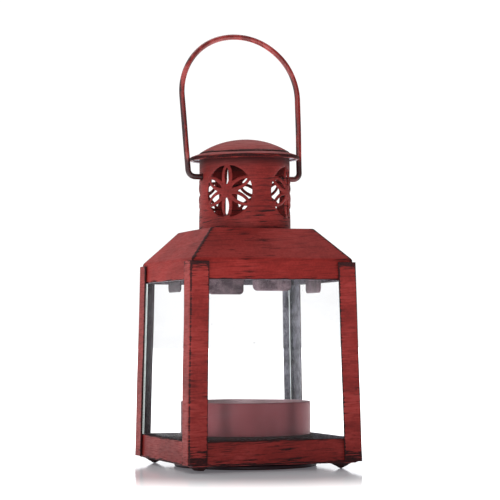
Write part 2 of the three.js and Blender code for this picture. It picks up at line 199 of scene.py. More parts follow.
class Finish:
    """The nodes of one material, or of the world, whose owner it is given."""

    def __init__(self, owner, coordinates="Object"):
        owner.use_nodes = True
        self.owner, self.tree = owner, owner.node_tree
        self.tree.nodes.clear()
        self.place = self.add("ShaderNodeTexCoord", out=coordinates)

    def add(self, kind, settings=None, sockets=None, out=0):
        """A node of that kind: its settings first, then the values or links of its sockets."""
        node = self.tree.nodes.new(kind)
        for key, value in (settings or {}).items():
            setattr(node, key, value)
        for key, value in (sockets or {}).items():
            if isinstance(value, Sock):
                self.tree.links.new(value.socket, node.inputs[key])
            else:
                node.inputs[key].default_value = value
        return Sock(self, node.outputs[out])

    def noise(self, scale, stretch=EVEN, detail=3.0, roughness=0.55, shift=(0, 0, 0), slant=0):
        """Noise of about 0.5 with that many lumps a metre, closer together along a stretched
        axis, its level lines slanted by an angle."""
        vector = self.place
        if slant:
            tilt = {"Vector": vector, "Rotation": (slant, slant, 0)}
            vector = self.add("ShaderNodeMapping", {}, tilt)
        moved = {"Vector": vector, "Scale": stretch, "Location": shift}
        vector = self.add("ShaderNodeMapping", {}, moved)
        values = {"Vector": vector, "Scale": scale, "Detail": detail, "Roughness": roughness}
        return self.add("ShaderNodeTexNoise", {}, values)

    def worn(self, name):
        """The piece's own attribute of that name."""
        return self.add("ShaderNodeAttribute", {"attribute_name": name}, {}, "Fac")

    def blend(self, factor, low, high):
        """A colour that goes from low to high with the factor."""
        settings = {"data_type": "RGBA", "clamp_factor": True}
        return self.add("ShaderNodeMix", settings, {0: factor, 6: low, 7: high}, 2)

    def bump(self, height, distance, strength):
        """The normal over a relief whose full height is a distance in millimetres."""
        values = {"Height": height, "Distance": distance * MM, "Strength": strength}
        return self.add("ShaderNodeBump", {}, values)

    def mixed(self, share, first, second):
        """One shader that goes from the first to the second with the share."""
        return self.add("ShaderNodeMixShader", {}, {0: share, 1: first, 2: second})

    def coat(self, **sockets):
        """A Principled shader; a socket's name is written with _ for its spaces."""
        values = {name.replace("_", " "): value for name, value in sockets.items()}
        return self.add("ShaderNodeBsdfPrincipled", {}, values)

    def surface(self, shader, output="ShaderNodeOutputMaterial"):
        """Sends the shader to the output, and returns the owner."""
        end = self.tree.nodes.new(output)
        self.tree.links.new(shader.socket, end.inputs["Surface"])
        return self.owner


def paint(name):
    """A new, empty material."""
    return Finish(bpy.data.materials.new(name))


def rgb(red, green, blue):
    """A screen colour, 0 to 255, as the linear colour that a shader takes."""
    share = np.array([red, green, blue]) / 255
    linear = np.where(share <= 0.04045, share / 12.92, ((share + 0.055) / 1.055) ** 2.4)
    return (*linear.tolist(), 1.0)


RED = rgb(158, 48, 44)
DEEP_RED = rgb(130, 36, 33)
ROSE = rgb(190, 92, 90)
WASH = rgb(28, 13, 16)
OVERSPRAY = rgb(62, 38, 48)
# dark red for painted shade under the lid's brim, and for a flat darkening of the red
SHADE_RED = rgb(44, 9, 11)


def brushed_paint(name, streaks, ticks, blackened, seed, rose=0.2, level=22.0,
                  gloss=0.48, ragged_by=2.2, shine=0.2):
    """Red lacquer under a dark dry-brushed wash: level streaks in patches, fine faint ticks all
    over, and black rubbed along the edges or laid as painted shade, which ragged_by frays.

    level is how many times closer together the streaks lie than they are long. rose is how
    much of the paint is dusty, shine its specular level. The piece's attributes say where it
    is worn or painted with shade, how calm it is (few streaks), and how far it is darkened,
    flat or as painted shade.
    """
    f = paint(name)
    patch = f.noise(48, (1, 1, 1.5), 3, 0.6, (seed, 0.3, 0.1))
    streak = f.noise(95, (1, 1, level), 4, 0.62, (0.2, seed, 0.4), 0.05)
    hair = f.noise(230, (1, 1, level * 0.6), 3, 0.6, (0.7, 0.1, seed), 0.03)
    grain = f.noise(1500, EVEN, 2, 0.5)
    tone = f.noise(60, (1, 1, 2.5), 4, 0.6, (seed, seed, 0.9))

    here = patch.step(0.7 - 0.4 * streaks, 0.82 - 0.4 * streaks)
    lines = streak.step(0.56, 0.6) * (0.35 + here * 0.65) * (0.5 + streaks)
    lines = lines * (1.0 - f.worn("calm"))
    faint = hair.step(0.48, 0.64) * ticks
    ragged = streak * 0.4 + hair * 0.6
    # the black here comes from rubbed edges, and on the bail and along the base's bottom edge
    # partly from painted shade
    edge = (f.worn("wear") * blackened + (ragged - 0.5) * ragged_by).step(0.38, 0.64)
    dark = lines.at_least(faint).at_least(edge).at_most(0.96) * (0.94 + (grain - 0.5) * 0.5)

    red = f.blend((tone * 0.7 + grain * 0.3).step(0.36, 0.64), DEEP_RED, RED)
    dusty = hair.step(0.6, 0.4) * tone.step(0.44, 0.6) * rose
    washed = f.blend(dark, f.blend(dusty, red, ROSE), WASH)
    height = grain * 0.25 + hair * 0.4 + streak * 0.3
    return f.surface(f.coat(
        # the dark red blended in here is painted shade under the lid's brim, and a flat darkening
        # elsewhere
        Base_Color=f.blend(f.worn("soot"), washed, SHADE_RED),
        Roughness=gloss + (hair - 0.5) * 0.3 + dark * 0.12,
        Normal=f.bump(height, 0.05, 0.6),
        Specular_IOR_Level=shine,
    ))


def bare_zinc(name, tint, stain, rough):
    """Unpainted galvanised sheet: blotchy crystals, bright flecks, and purple-brown overspray
    in clouds and where the piece's attribute for stain and shade asks for it. On the dish that
    darkening is painted shade."""
    f = paint(name)
    blotch = f.noise(260, EVEN, 5, 0.7)
    cell = {"Vector": f.place, "Scale": 620.0}
    spangle = f.add("ShaderNodeTexVoronoi", {"feature": "F1"}, cell, "Distance")
    fleck = f.noise(900, EVEN, 3, 0.6)
    cloud = f.noise(70, (1, 1, 0.6), 3, 0.6)
    sprayed = (f.worn("stain") + (cloud.step(0.44, 0.66) * stain)).at_most(1.0)
    shaded = rgb(*(0.62 * np.array(tint)))
    pale = f.blend(blotch.step(0.38, 0.62), shaded, rgb(*tint))
    bright = f.blend(fleck.step(0.66, 0.74) * 0.8, pale, rgb(226, 226, 232))
    return f.surface(f.coat(
        Base_Color=f.blend(sprayed, bright, OVERSPRAY),
        Metallic=0.6 - sprayed * 0.5,
        Roughness=rough + (blotch - 0.5) * 0.35,
        Normal=f.bump(spangle * 0.4 + fleck * 0.4, 0.04, 0.5),
    ))


def window_glass():
    """Thin clear glass: a mirror share that grows at grazing sight, and a trace of wiped dust."""
    f = paint("window_glass")
    smear = f.noise(34, (1, 1, 3.2), 4, 0.65)
    speck = f.noise(800, EVEN, 2, 0.5)
    clear = f.add("ShaderNodeBsdfTransparent", {}, {"Color": (0.995, 0.997, 1, 1)})
    mirror = f.add("ShaderNodeBsdfGlossy", {}, {"Color": (0.95, 0.96, 0.97, 1), "Roughness": 0.04})
    dust = f.add("ShaderNodeBsdfDiffuse", {}, {"Color": (0.9, 0.89, 0.92, 1)})
    facing = f.add("ShaderNodeFresnel", {}, {"IOR": 1.45})
    glass = f.mixed(facing.at_most(0.3) * 0.14, clear, mirror)
    haze = 0.014 + smear.step(0.45, 0.8) * 0.03 + speck.step(0.74, 0.8) * 0.3
    return f.surface(f.mixed(haze, glass, dust))


def glass_edge(name, body, solid, glow):
    """The ground edge of a pane: frosted, darker in the chipped places, solid to a share, and
    glowing as much as glow asks, which paints a highlight.
    """
    f = paint(name)
    chip = f.noise(700, (1, 1, 0.3), 3, 0.6)
    frosted = f.coat(
        Base_Color=f.blend(chip.step(0.45, 0.7), body, rgb(120, 140, 136)),
        Roughness=0.25 + chip * 0.3,
        Normal=f.bump(chip, 0.05, 0.5),
        Emission_Color=(0.9, 1, 0.96, 1),
        Emission_Strength=glow,
    )
    clear = f.add("ShaderNodeBsdfTransparent", {}, {"Color": (0.96, 0.98, 0.975, 1)})
    return f.surface(f.mixed(solid + (chip - 0.5) * 0.3, clear, frosted))


def satin_cup(name, low, high, mark):
    """Anodised sheet with faint drawn lines round it, clouded from low to high, and scuffs."""
    f = paint(name)
    drawn = f.noise(90, (1, 1, 30), 3, 0.6)
    cloud = f.noise(48, (1, 1, 0.7), 3, 0.55)
    scuff = f.noise(260, (1, 1, 6), 4, 0.7)
    base = f.blend(cloud.step(0.36, 0.66), low, high)
    return f.surface(f.coat(
        Base_Color=f.blend(scuff.step(0.62, 0.76) * 0.45, base, mark),
        Metallic=0.7,
        Roughness=0.4 + (drawn - 0.5) * 0.2,
        Normal=f.bump(drawn, 0.02, 0.35),
    ))


def tealight_foil():
    """Thin drawn aluminium, bright, with fine drawing lines and soft dents."""
    f = paint("tealight_foil")
    dent = f.noise(170, (1, 1, 0.5), 3, 0.6)
    line = f.noise(420, (1, 1, 9), 2, 0.5)
    return f.surface(f.coat(
        Base_Color=f.blend(dent.step(0.3, 0.7), rgb(196, 198, 202), rgb(226, 227, 230)),
        Metallic=0.95,
        Roughness=0.24 + line * 0.2,
        Normal=f.bump(dent * 0.8 + line * 0.2, 0.12, 0.5),
    ))


def candle_paraffin():
    """White paraffin, slightly warm, with a frosted bloom and tiny pits."""
    f = paint("candle_paraffin")
    bloom = f.noise(120, EVEN, 4, 0.6)
    pit = f.noise(1100, EVEN, 2, 0.5)
    return f.surface(f.coat(
        Base_Color=f.blend(bloom.step(0.35, 0.65), rgb(236, 230, 216), rgb(246, 243, 234)),
        Roughness=0.38 + bloom * 0.25,
        Subsurface_Weight=0.3,
        Subsurface_Radius=(0.004, 0.003, 0.002),
        Normal=f.bump(pit * 0.5 + bloom, 0.08, 0.4),
    ))


def wick_thread():
    """Bleached cotton braid, waxed, a little yellow."""
    f = paint("wick_thread")
    fibre = f.noise(2600, (1, 1, 0.3), 3, 0.6)
    return f.surface(f.coat(
        Base_Color=f.blend(fibre.step(0.35, 0.65), rgb(206, 194, 168), rgb(240, 234, 218)),
        Roughness=0.75 + (fibre - 0.5) * 0.3,
        Normal=f.bump(fibre, 0.06, 0.7),
    ))


# ---- surfaces worked out with numpy ----


def quads(rows, columns, wrap_rows, wrap_columns):
    """The faces of a grid of points numbered row by row; a wrapped side joins last to first."""
    r, c = np.meshgrid(
        np.arange(rows if wrap_rows else rows - 1),
        np.arange(columns if wrap_columns else columns - 1),
        indexing="ij",
    )
    r2, c2 = (r + 1) % rows, (c + 1) % columns
    corners = (r * columns + c, r * columns + c2, r2 * columns + c2, r2 * columns + c)
    return np.stack(corners, -1).reshape(-1, 4)


def unit(vector):
    """Vectors divided by their own lengths."""
    return vector / np.linalg.norm(vector, axis=-1, keepdims=True)


def filleted(corners, radii, steps=5):
    """A closed outline whose corners are replaced by arcs: each arc touches both sides at
    radius / tan(half the corner's angle) from the corner. A radius of 0 keeps the corner."""
    corners = np.asarray(corners, float)
    out = []
    for i, radius in enumerate(radii):
        here = corners[i]
        back = corners[i - 1] - here
        ahead = corners[(i + 1) % len(corners)] - here
        back_length, ahead_length = np.linalg.norm(back), np.linalg.norm(ahead)
        back, ahead = unit(back), unit(ahead)
        half = math.acos(np.clip(back @ ahead, -1, 1)) / 2
        if radius <= 0 or half > math.radians(89):
            out.append(here[None])
            continue
        reach = min(radius / math.tan(half), 0.49 * back_length, 0.49 * ahead_length)
        real = reach * math.tan(half)
        centre = here + unit(back + ahead) * (real / math.sin(half))
        a, b = here + back * reach - centre, here + ahead * reach - centre
        turn = math.acos(np.clip(a @ b / (real * real), -1, 1))
        t = np.linspace(0, 1, steps + 1)[:, None]
        out.append(centre + (np.sin((1 - t) * turn) * a + np.sin(t * turn) * b) / math.sin(turn))
    return np.concatenate(out)


def resampled(outline, longest):
    """The closed outline with each side cut into equal parts no longer than the given length."""
    ahead = np.roll(outline, -1, axis=0)
    counts = np.maximum(1, np.ceil(np.linalg.norm(ahead - outline, axis=1) / longest)).astype(int)
    parts = [
        start + (end - start) * (np.arange(n) / n)[:, None]
        for start, end, n in zip(outline, ahead, counts)
    ]
    return np.concatenate(parts)


def turned(profile, steps, ripple=None):
    """A closed [radius, height] outline turned about the upright axis. A ripple, a function of
    radius, height and angle, adds to the radius."""
    angle = np.linspace(0, 2 * math.pi, steps, endpoint=False)[None]
    radius, height = profile[:, :1], profile[:, 1:]
    extra = 0 if ripple is None else ripple(radius, height, angle)
    spread = np.where(radius > 1e-6, radius + extra, 0)
    points = np.stack(
        [spread * np.cos(angle), spread * np.sin(angle), height + 0 * angle], -1
    )
    return points.reshape(-1, 3), quads(len(profile), steps, True, True)


def lathed(corners, radii, longest, steps, ripple=None):
    """An outline with its corners rounded, cut fine and turned."""
    return turned(resampled(filleted(corners, radii), longest), steps, ripple)


def squared(profile, corner, round_share, side_steps, corner_steps=6):
    """A closed [half width, height] outline carried round a square with rounded corners. Where
    round_share is 1, the square has become a circle of that radius."""
    t = np.linspace(-1, 1, side_steps, endpoint=False)
    phi = np.linspace(0, math.pi / 2, corner_steps, endpoint=False)
    one = np.ones_like
    straight = np.concatenate([np.stack([one(t), t], 1), np.stack([one(phi), one(phi)], 1)])
    arc = np.concatenate([np.stack([one(t), 0 * t], 1), np.stack([np.cos(phi), np.sin(phi)], 1)])
    turns = [np.array([[c, s], [-s, c]]) for c, s in ((1, 0), (0, 1), (-1, 0), (0, -1))]
    straight = np.concatenate([straight @ m for m in turns])
    arc = np.concatenate([arc @ m for m in turns])
    half, height = profile[:, 0][:, None, None], profile[:, 1]
    square = (half - corner) * straight + corner * arc
    bevel = corner / 20  # how far the corner's own rounding turns a point's direction
    direction = unit(straight * (1 - bevel) + arc * bevel)
    share = round_share[:, None, None]
    flat = square * (1 - share) + half * direction * share
    level = np.broadcast_to(height[:, None, None], flat.shape[:2] + (1,))
    points = np.concatenate([flat, level], -1)
    return points.reshape(-1, 3), quads(len(profile), len(straight), True, True)


def closed_rings(centres, offset):
    """Rings of points, each its centre plus its offsets, joined one to the next. The ends are
    closed by a ring drawn in to the centre."""
    rings = centres[:, None] + offset
    rings = np.concatenate([0 * rings[:1] + centres[0], rings, 0 * rings[-1:] + centres[-1]])
    return rings.reshape(-1, 3), quads(len(rings), rings.shape[1], False, True)


def swept(centres, across, through, section, widths, depths):
    """A closed section carried along a path: each of its points is the path's point plus its
    first number times the half width across and its second times the half depth through."""
    offset = (
        across[:, None] * section[None, :, :1] * widths[:, None, None]
        + through[:, None] * section[None, :, 1:] * depths[:, None, None]
    )
    return closed_rings(centres, offset)


def rounded_box_section(corner_width, corner_depth, steps=3):
    """A rectangle from -1 to 1 both ways, its corners elliptic arcs of those shares."""
    phi = np.linspace(0, math.pi / 2, steps + 1)
    parts = []
    quarters = ((1, 1), (-1, 1), (-1, -1), (1, -1))
    for k, (sx, sy) in enumerate(quarters):
        angle = phi + k * math.pi / 2
        x = sx * (1 - corner_width) + corner_width * np.cos(angle)
        y = sy * (1 - corner_depth) + corner_depth * np.sin(angle)
        parts.append(np.stack([x, y], 1))
    return np.concatenate(parts)


def circle_section(steps):
    """A circle of radius 1."""
    angle = np.linspace(0, 2 * math.pi, steps, endpoint=False)
    return np.stack([np.cos(angle), np.sin(angle)], 1)


def joined(*surfaces):
    """Several surfaces as one: their points stacked and their faces renumbered."""
    points, faces, start = [], [], 0
    for p, q in surfaces:
        points.append(p)
        faces.append(q + start)
        start += len(p)
    return np.concatenate(points), np.concatenate(faces)


def about_z(points, angle):
    """Points turned about the upright axis."""
    c, s = math.cos(angle), math.sin(angle)
    return points @ np.array([[c, s, 0], [-s, c, 0], [0, 0, 1]])


def near(distance, reach):
    """1 at no distance, falling off as e to the minus distance over reach."""
    return np.exp(-np.abs(distance) / reach)


def uneven(points, size, amount, seed):
    """Points pushed along a smooth field, a few sine waves of about that wavelength."""
    rng = np.random.default_rng(seed)
    waves = rng.normal(size=(7, 3)) * (2 * math.pi / size) * 0.6
    phases = rng.uniform(0, 2 * math.pi, (3, 7))
    push = [np.sin(points @ waves.T + phase).mean(1) for phase in phases]
    return points + amount * np.stack(push, 1)


def build(name, surface, body, slot, finishes, choose=None, crease=40, caps=(), **felt):
    """Puts a surface into a mesh that replaces the CAD node of that name: doubles merged,
    normals outward, smooth but for sharp bends.

    caps are extra faces, as lists of points. choose gives each face's finish from its centre
    and normal. felt holds each point's wear and painted shade, stain and painted shade, calm,
    or darkening and painted shade, from 0 to 1.
    """
    points, faces = surface
    mesh = bpy.data.meshes.new(name)
    mesh.from_pydata((points * MM).tolist(), [], faces.tolist() + [list(cap) for cap in caps])
    for label, values in felt.items():
        layer = mesh.attributes.new(label, "FLOAT", "POINT")
        values = np.broadcast_to(values, len(points))
        layer.data.foreach_set("value", np.clip(values, 0, 1).astype(np.float32))
    work = bmesh.new()
    work.from_mesh(mesh)
    bmesh.ops.remove_doubles(work, verts=work.verts, dist=1e-7)
    bmesh.ops.dissolve_degenerate(work, edges=work.edges, dist=1e-8)
    bmesh.ops.recalc_face_normals(work, faces=work.faces)
    work.to_mesh(mesh)
    work.free()
    for finish in finishes:
        mesh.materials.append(finish)
    mesh.shade_smooth()
    mesh.set_sharp_from_angle(angle=math.radians(crease))
    if choose is not None:
        count = len(mesh.polygons)
        centres, normals = np.empty(count * 3), np.empty(count * 3)
        mesh.polygons.foreach_get("center", centres)
        mesh.polygons.foreach_get("normal", normals)
        index = choose(centres.reshape(-1, 3) / MM, normals.reshape(-1, 3))
        mesh.polygons.foreach_set("material_index", index.astype(np.int32))
    piece = bpy.data.objects.new(name, mesh)
    bpy.context.scene.collection.objects.link(piece)
    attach(piece, body)
    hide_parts(name)
    return piece


# ---- finishes ----

body_paint = brushed_paint("body_paint", streaks=0.72, ticks=0.25, blackened=1.05, seed=0.1)
post_paint = brushed_paint(
    "post_paint", streaks=0.5, ticks=0.25, blackened=1.15, seed=0.7, rose=0.15, level=15.0
)
roof_paint = brushed_paint(
    "roof_paint", streaks=0.56, ticks=0.1, blackened=1.05, seed=0.4, rose=0.08, level=26.0,
    gloss=0.5, shine=0.12,
)
chimney_paint = brushed_paint(
    "chimney_paint", streaks=0.9, ticks=0.3, blackened=0.9, seed=1.3, rose=0.12
)
lid_paint = brushed_paint(
    "lid_paint", streaks=0.3, ticks=0.2, blackened=1.0, seed=1.9, rose=0.1, gloss=0.5, shine=0.1
)
bail_paint = brushed_paint(
    "bail_paint", streaks=0.1, ticks=0.5, blackened=1.0, seed=2.3, rose=0.8, level=0.7,
    gloss=0.26, ragged_by=1.2, shine=0.6,
)
inner_paint = brushed_paint(
    "inner_paint", streaks=0.9, ticks=0.6, blackened=1.0, seed=3.1, rose=0.0
)
# near-black paint for the undersides of the base and the dish: painted shade beneath them
underside_shade_paint = brushed_paint(
    "underside_shade_paint", streaks=1.0, ticks=0.9, blackened=1.0, seed=4.3, rose=0.0
)
zinc = bare_zinc("bare_zinc", tint=(188, 184, 198), stain=0.35, rough=0.42)
clip_zinc = bare_zinc("clip_zinc", tint=(166, 140, 148), stain=0.35, rough=0.4)
# heavy overspray clouds darken the dish's zinc, partly as painted shade beneath the lantern
dish_zinc = bare_zinc("dish_zinc", tint=(176, 160, 148), stain=1.5, rough=0.38)
clear_glass = window_glass()
edge_glass = glass_edge("edge_glass", rgb(120, 128, 130), solid=0.12, glow=0.0)
# a pale, glowing copy of the edge finish for the bevels that face the left lamp: a painted
# highlight
glint_glass = glass_edge("glint_glass", rgb(246, 252, 248), solid=0.9, glow=0.7)
cup_satin = satin_cup("cup_satin", rgb(124, 56, 61), rgb(150, 80, 86), rgb(90, 42, 48))
# a pale copy of the cup's finish for its inside: painted light on the inner wall
cup_lit_lining = satin_cup("cup_lit_lining", rgb(196, 160, 166), rgb(214, 184, 190), rgb(150, 110, 116))
foil = tealight_foil()
paraffin = candle_paraffin()
thread = wick_thread()


# ---- base pan ----


def foot_dip(points):
    """How far the pressed feet pull the floor down: a cone from FOOT_REACH to the tip, its root
    eased in. The front left foot is crushed: it goes down only to a share of the depth."""
    away = np.hypot(np.abs(points[:, 0]) - FOOT_SPREAD, np.abs(points[:, 1]) - FOOT_SPREAD)
    share = np.clip((FOOT_REACH - away) / (FOOT_REACH - FOOT_TIP), 0, 1)
    depth = share * (0.75 + 0.25 * share)
    crushed = (points[:, 0] < 0) & (points[:, 1] < 0)
    return FLOOR_Z * np.where(crushed, np.minimum(1.15 * depth, CRUSHED_SHARE), depth)


def wall_tab(centreline, width, tip_corner, angle, shift=0.0):
    """A strip of sheet bent along a [depth, height] line, with rounded corners at its last end.
    Near that end its half width shrinks as a circle's does."""
    line = np.asarray(centreline, float)
    run = np.concatenate([[0], np.cumsum(np.linalg.norm(np.diff(line, axis=0), axis=1))])
    plain = np.linspace(0, run[-1] - tip_corner, 14)
    ends = run[-1] - tip_corner * (1 - np.sin(np.linspace(0, math.pi / 2, 7)[1:]))
    stations = np.concatenate([plain, ends])
    depth = np.interp(stations, run, line[:, 0])
    height = np.interp(stations, run, line[:, 1])
    slope_depth = np.gradient(depth, stations)
    slope_height = np.gradient(height, stations)
    length = np.hypot(slope_depth, slope_height)
    through = np.stack([0 * length, slope_height / length, slope_depth / length], 1)
    centres = np.stack([0 * depth + shift, -depth, height], 1)
    over = np.clip(stations - (run[-1] - tip_corner), 0, tip_corner)
    widths = width / 2 - tip_corner + np.sqrt(np.maximum(tip_corner**2 - over**2, 0))
    across = np.tile([1.0, 0, 0], (len(stations), 1))
    section = rounded_box_section(0.06, 0.6)
    depths = np.full(len(widths), SHEET / 2)
    points, faces = swept(centres, across, through, section, widths, depths)
    return about_z(points, angle), faces


def bent_line(points, radius, steps=6):
    """An open line through the given corners, each inner corner replaced by an arc."""
    return filleted(points, [0] + [radius] * (len(points) - 2) + [0], steps)


def base_pan():
    """The rim, floor and collar of the pan as one outline carried round, a square at the rim
    that becomes a circle at the collar, with its feet pressed down and four lugs set in."""
    floor_top = FLOOR_Z + SHEET
    hole = CUP_RADIUS + GAP
    outline = filleted(
        [
            [skin_half(BASE_RIM_Z), BASE_RIM_Z], [skin_half(BASE_RIM_Z) - SHEET, BASE_RIM_Z],
            [skin_half(floor_top) - SHEET, floor_top], [hole + SHEET, floor_top],
            [hole + SHEET, COLLAR_TOP_Z], [hole, COLLAR_TOP_Z], [hole, FLOOR_Z],
            [skin_half(FLOOR_Z), FLOOR_Z],
        ],
        [0.24, 0.24, 0.5, 0.4, 0.24, 0.24, 0.9, 0.9],
    )
    outline = resampled(outline, 0.65)
    flat_end = 24.5
    share = np.clip((flat_end - outline[:, 0]) / (flat_end - hole - 1.0), 0, 1)
    share = share * share * (3 - 2 * share)
    points, faces = squared(outline, 1.0, share, 72)
    low = np.clip(4.0 - points[:, 2], 0, 1) * (np.abs(points).max(1) < 26.3)
    points[:, 2] -= low * foot_dip(points)

    depth = pane_inner(LUG_TOP_Z) - GAP - SHEET / 2
    level = floor_top + 0.1
    line = bent_line([[depth - 1.9, level], [depth, level], [depth, LUG_TOP_Z]], 0.6)
    lugs = [wall_tab(line, LUG_WIDTH, 0.9, k * math.pi / 2) for k in range(4)]
    surface = joined((points, faces), *lugs)

    x, y, z = surface[0].T
    outer = np.maximum(np.abs(x), np.abs(y)) > skin_half(z) - 0.3
    # black along the rim's top edge is wash; along its bottom edge it is partly wash and partly
    # painted shade beneath the base
    rubbed_and_shaded = np.maximum(near(z - BASE_RIM_Z, 0.5), 0.9 * near(z - FLOOR_Z, 1.2))
    pressed = np.where(z < FLOOR_Z - 0.1, 1.0, np.where(z < FLOOR_Z + 0.25, 0.45, 0))
    collar_edge = (np.hypot(x, y) < 21.6) * (z > floor_top) * 0.95
    wear = np.maximum(np.maximum(np.where(outer, rubbed_and_shaded, 0.5), pressed), collar_edge)
    stain = 0.1 + 0.75 * np.clip((12 - x) / 26, 0, 1)

    def bare(centre, normal):
        """Bare zinc inside but for the collar, and near-black paint underneath as painted shade.
        """
        inside = np.abs(centre[:, :2]).max(1) < skin_half(centre[:, 2]) - 0.3
        collar = np.hypot(centre[:, 0], centre[:, 1]) < hole + 1.0
        under = (normal[:, 2] < -0.3) & (centre[:, 2] < FLOOR_Z + 0.1)
        return np.where(under, 2, inside & (centre[:, 2] > floor_top - 0.25) & ~collar)

    build(
        "base_pan", surface, "lantern", "lantern_paint", [body_paint, zinc, underside_shade_paint], bare,
        wear=wear, stain=stain, calm=0.85 * (x < -26.4),
    )


# ---- corner posts ----

POSTS = {  # sides in x and y, flange on the front or rear wall, overspray inside, seed
    "post_front_left": (-1, -1, FRONT_FLANGE, 0.4, 41),
    "post_front_right": (1, -1, FRONT_FLANGE, 0.4, 42),
    "post_rear_left": (-1, 1, REAR_LEFT_FLANGE, 1.0, 43),
    "post_rear_right": (1, 1, REAR_FLANGE, 0.05, 44),
}


def post(node):
    """An L of sheet with a round bend, carried up the leaning corner."""
    side_x, side_y, flange, overspray, seed = POSTS[node]
    outline = filleted(
        [
            [0, 0], [-flange, 0], [-flange, -SHEET], [-SHEET, -SHEET], [-SHEET, -SIDE_FLANGE],
            [0, -SIDE_FLANGE],
        ],
        [POST_BEND, 0.2, 0.2, POST_BEND - SHEET, 0.2, 0.2],
        6,
    )
    outline = resampled(outline, 0.45)
    height = np.linspace(POST_FOOT_Z, POST_TOP_Z, 122)
    half = post_half(height)[:, None]
    x = side_x * (half + outline[None, :, 0])
    y = side_y * (half + outline[None, :, 1])
    z = np.broadcast_to(height[:, None], x.shape)
    rings = np.stack([x, y, z], -1)
    points = uneven(rings.reshape(-1, 3), 26, 0.14, seed)
    count = len(outline)

    on_wall, on_side = np.abs(outline).T
    bend = np.hypot(on_wall, on_side)
    edge = np.minimum(np.abs(outline[:, 0] + flange), np.abs(outline[:, 1] + SIDE_FLANGE))
    over = np.maximum(0.78 * near(bend - 0.3, 0.3), 0.85 * near(edge, 0.36))[None]
    up = height[:, None]
    ends = np.maximum(1.1 * near(POST_TOP_Z - up, 1.5), 0.68 * near(up - POST_FOOT_Z, 6.0))
    wear = np.maximum(over, ends * (0.5 + 0.5 * (on_wall > 0.6)[None]))
    wear = wear + 0.65 * over * near(POST_TOP_Z - up, 6.0)
    wear = wear + 0.3 * over * near(up - POST_FOOT_Z, 9.0)
    side_flange = 0.85 * (on_side > on_wall)
    middle = 0.75 * np.exp(-(((on_wall - flange / 2) / (flange / 3)) ** 2))
    calm = np.broadcast_to(np.maximum(side_flange, middle)[None], x.shape)

    def bare(centre, normal):
        inward = post_half(centre[:, 2]) - SHEET + 0.12
        return (np.abs(centre[:, :2]).max(1) < inward).astype(int)

    build(
        node, (points, quads(len(height), count, False, True)), "lantern", "lantern_paint",
        [post_paint, zinc], bare, caps=(range(count), range(len(points) - count, len(points))),
        wear=wear.reshape(-1), stain=overspray, calm=calm.reshape(-1),
    )


# ---- roof ----


def roof():
    """The skirt, slopes and flat top as one outline carried round, a square that becomes a
    circle at the flue hole."""
    slope = math.atan2(ROOF_TOP_Z - ROOF_BREAK_Z, skin_half(ROOF_BREAK_Z) - ROOF_TOP_HALF)
    inset = SHEET * math.tan(slope / 2)
    outline = filleted(
        [
            [skin_half(ROOF_HEM_Z), ROOF_HEM_Z], [skin_half(ROOF_BREAK_Z), ROOF_BREAK_Z],
            [ROOF_TOP_HALF, ROOF_TOP_Z], [FLUE_RADIUS, ROOF_TOP_Z],
            [FLUE_RADIUS, ROOF_TOP_Z - SHEET], [ROOF_TOP_HALF - inset, ROOF_TOP_Z - SHEET],
            [skin_half(ROOF_BREAK_Z) - SHEET, ROOF_BREAK_Z - inset],
            [skin_half(ROOF_HEM_Z) - SHEET, ROOF_HEM_Z],
        ],
        [0.24, 1.6, 0.9, 0.2, 0.2, 0.5, 1.2, 0.24],
    )
    outline = resampled(outline, 0.5)
    flat_end = 16.3
    share = np.clip((flat_end - outline[:, 0]) / (flat_end - FLUE_RADIUS), 0, 1)
    points, faces = squared(outline, 0.55, share, 72)
    points = uneven(points, 34, 0.18, 5)
    x, y, z = points.T
    hip = np.abs(np.abs(x) - np.abs(y))
    wear = np.maximum(1.1 * near(z - ROOF_HEM_Z, 0.6), 1.05 * near(hip, 1.0))
    sleeve = near(np.hypot(x, y) - CHIMNEY_FOOT_RADIUS, 0.8) * (z > ROOF_TOP_Z - 0.6)
    wear = np.maximum(wear, 0.6 * sleeve)
    left_slope = (-x > np.abs(y) - 0.5) & (-x > 12)

    def bare(centre, normal):
        side = (centre[:, :2] * normal[:, :2]).sum(1)
        return ((side < -0.5) | (normal[:, 2] < -0.3)).astype(int)

    build(
        "roof", (points, faces), "lantern", "lantern_paint", [roof_paint, zinc], bare,
        wear=wear, stain=0.6, calm=0.7 * left_slope,
    )


# ---- pane clips and panes ----

WALLS = {  # the turn from the front, how far the clip is off centre, overspray on the clip
    "front": (0.0, 0.4, 0.3),
    "right": (math.pi / 2, 0.0, 0.2),
    "rear": (math.pi, -1.6, 0.25),
    "left": (-math.pi / 2, 0.0, 1.0),
}


def pane_clip(wall):
    """A strip bent from level, under the roof, to upright, inside the glass."""
    angle, shift, stain = WALLS[wall]
    depth = pane_inner(CLIP_BOTTOM_Z) - GAP - SHEET / 2
    root = skin_half(CLIP_TOP_Z) - SHEET - GAP
    level = CLIP_TOP_Z - SHEET / 2
    line = bent_line([[root, level], [depth, level], [depth, CLIP_BOTTOM_Z]], 0.7)
    surface = wall_tab(line, CLIP_WIDTH, 1.5, angle, shift)
    build(f"pane_clip_{wall}", surface, "lantern", "bare_sheet", [clip_zinc], stain=stain)


